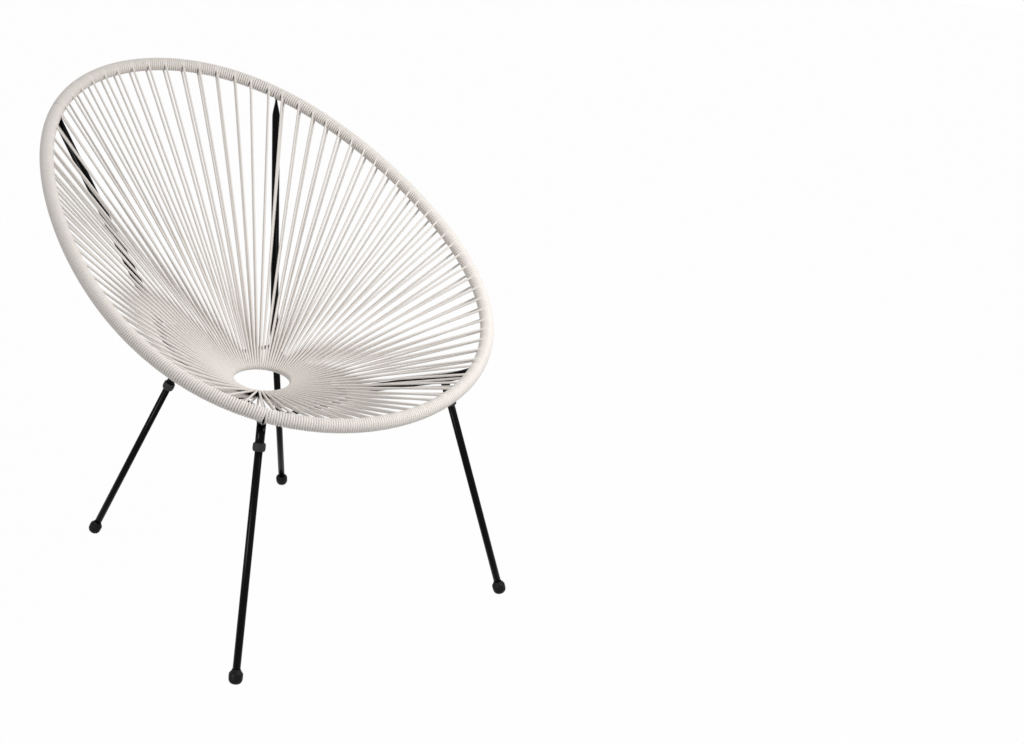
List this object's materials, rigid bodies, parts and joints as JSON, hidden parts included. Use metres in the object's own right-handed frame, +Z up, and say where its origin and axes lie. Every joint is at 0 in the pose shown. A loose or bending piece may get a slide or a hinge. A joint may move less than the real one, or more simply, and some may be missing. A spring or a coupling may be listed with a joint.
{
  "type": "acapulco chair",
  "caption": "Patio lounge chair: an egg-shaped steel hoop strung with cream plastic cord down to a small seat ring, on four slim black legs.",
  "frame": {"origin": "on the floor, under the middle of the chair's box", "axes": "+Z up, the sitter faces -Y, the sitter's left is +X"},
  "size_m": [0.7508, 0.8206, 0.8571],
  "materials": {
    "black_frame": "satin black powder coat",
    "cream_cord": "smooth round extruded plastic cord, soft sheen",
    "black_plastic": "moulded, fine matt",
    "black_rubber": "moulded, matt",
    "zinc_steel": "bright zinc plate"
  },
  "bodies": {
    "root": {"hoop_tube": "black_frame", "seat_ring": "black_frame", "ring_winding": "cream_cord", "side_strut_left": "black_frame", "side_strut_right": "black_frame", "seat_cord_1": "cream_cord", "seat_cord_2": "cream_cord", "seat_cord_3": "cream_cord", "seat_cord_4": "cream_cord", "seat_cord_5": "cream_cord", "seat_cord_6": "cream_cord", "seat_cord_7": "cream_cord", "seat_cord_8": "cream_cord", "seat_cord_9": "cream_cord", "seat_cord_10": "cream_cord", "seat_cord_11": "cream_cord", "seat_cord_12": "cream_cord", "seat_cord_13": "cream_cord", "seat_cord_14": "cream_cord", "front_left_stub": "black_frame", "front_left_insert": "zinc_steel", "front_left_thread": "zinc_steel", "front_left_collar": "black_plastic", "front_left_leg": "black_frame", "front_left_foot": "black_rubber", "front_right_stub": "black_frame", "front_right_insert": "zinc_steel", "front_right_thread": "zinc_steel", "front_right_collar": "black_plastic", "front_right_leg": "black_frame", "front_right_foot": "black_rubber", "rear_left_stub": "black_frame", "rear_left_insert": "zinc_steel", "rear_left_thread": "zinc_steel", "rear_left_collar": "black_plastic", "rear_left_leg": "black_frame", "rear_left_foot": "black_rubber", "rear_right_stub": "black_frame", "rear_right_insert": "zinc_steel", "rear_right_thread": "zinc_steel", "rear_right_collar": "black_plastic", "rear_right_leg": "black_frame", "rear_right_foot": "black_rubber", "front_crossbar": "black_frame", "rear_crossbar": "black_frame"}
  },
  "joints": []
}
